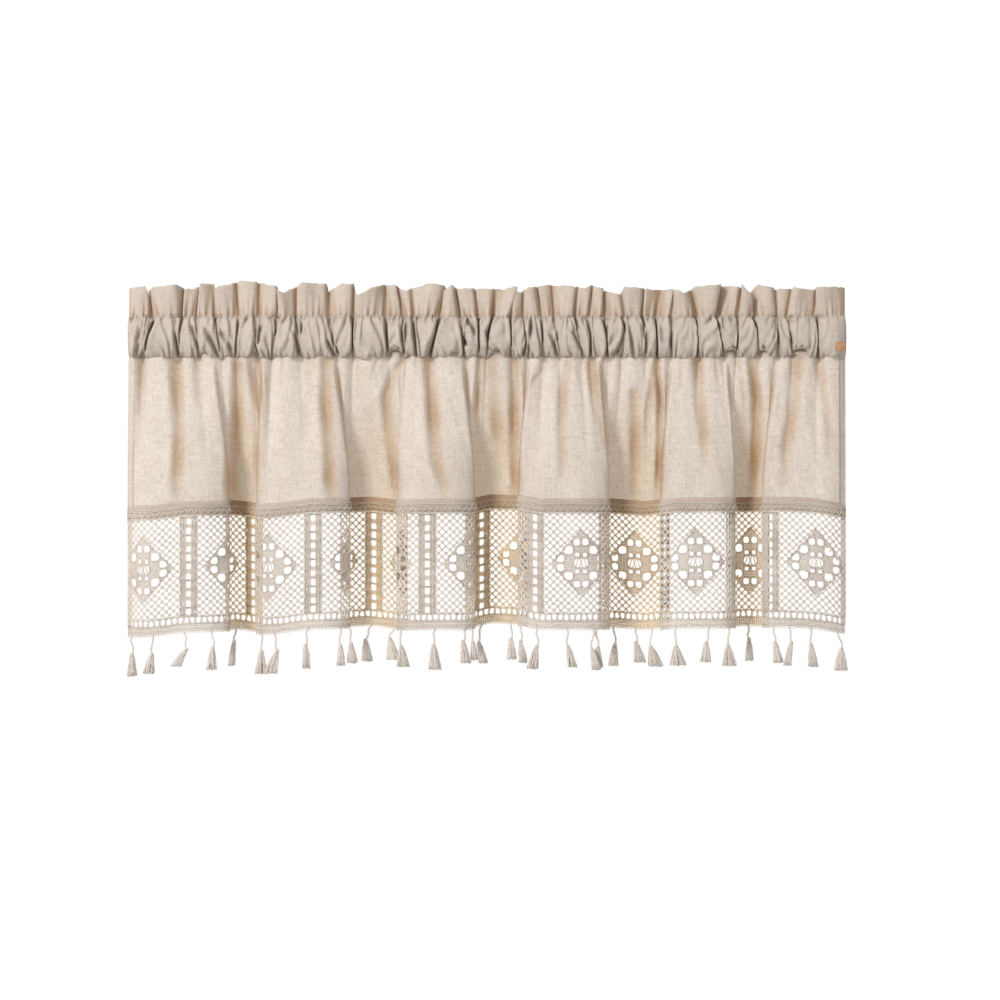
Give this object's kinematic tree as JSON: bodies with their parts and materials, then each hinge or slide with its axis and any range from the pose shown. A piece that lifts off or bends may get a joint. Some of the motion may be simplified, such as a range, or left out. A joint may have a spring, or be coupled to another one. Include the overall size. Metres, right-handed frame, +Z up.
{
  "type": "linen window valance",
  "caption": "Short gathered curtain with a ruffled header over an open rod pocket, a softly folded linen panel, an openwork lace edging and hanging tassels.",
  "frame": {"origin": "middle of the rod pocket, halfway along the valance", "axes": "+X along the valance, -Y towards the room, +Z up"},
  "size_m": [0.8411, 0.0656, 0.4623],
  "materials": {
    "pocket_linen": "gathered double linen, matt",
    "linen": "light slubby linen, lets daylight through",
    "lace": "cotton lace, matt",
    "yarn": "twisted cotton yarn, matt",
    "tan_leather": "smooth tan leather"
  },
  "bodies": {
    "root": {"heading": "pocket_linen", "panel": "linen", "lace": "lace", "tab": "tan_leather", "tassel_01": "yarn", "tassel_02": "yarn", "tassel_03": "yarn", "tassel_04": "yarn", "tassel_05": "yarn", "tassel_06": "yarn", "tassel_07": "yarn", "tassel_08": "yarn", "tassel_09": "yarn", "tassel_10": "yarn", "tassel_11": "yarn", "tassel_12": "yarn", "tassel_13": "yarn", "tassel_14": "yarn", "tassel_15": "yarn", "tassel_16": "yarn", "tassel_17": "yarn", "tassel_18": "yarn", "tassel_19": "yarn", "tassel_20": "yarn", "tassel_21": "yarn", "tassel_22": "yarn", "tassel_23": "yarn", "tassel_24": "yarn", "tassel_25": "yarn", "tassel_26": "yarn", "tassel_27": "yarn", "tassel_28": "yarn", "tassel_29": "yarn", "tassel_30": "yarn", "tassel_31": "yarn", "tassel_32": "yarn", "tassel_33": "yarn", "tassel_34": "yarn"}
  },
  "joints": []
}
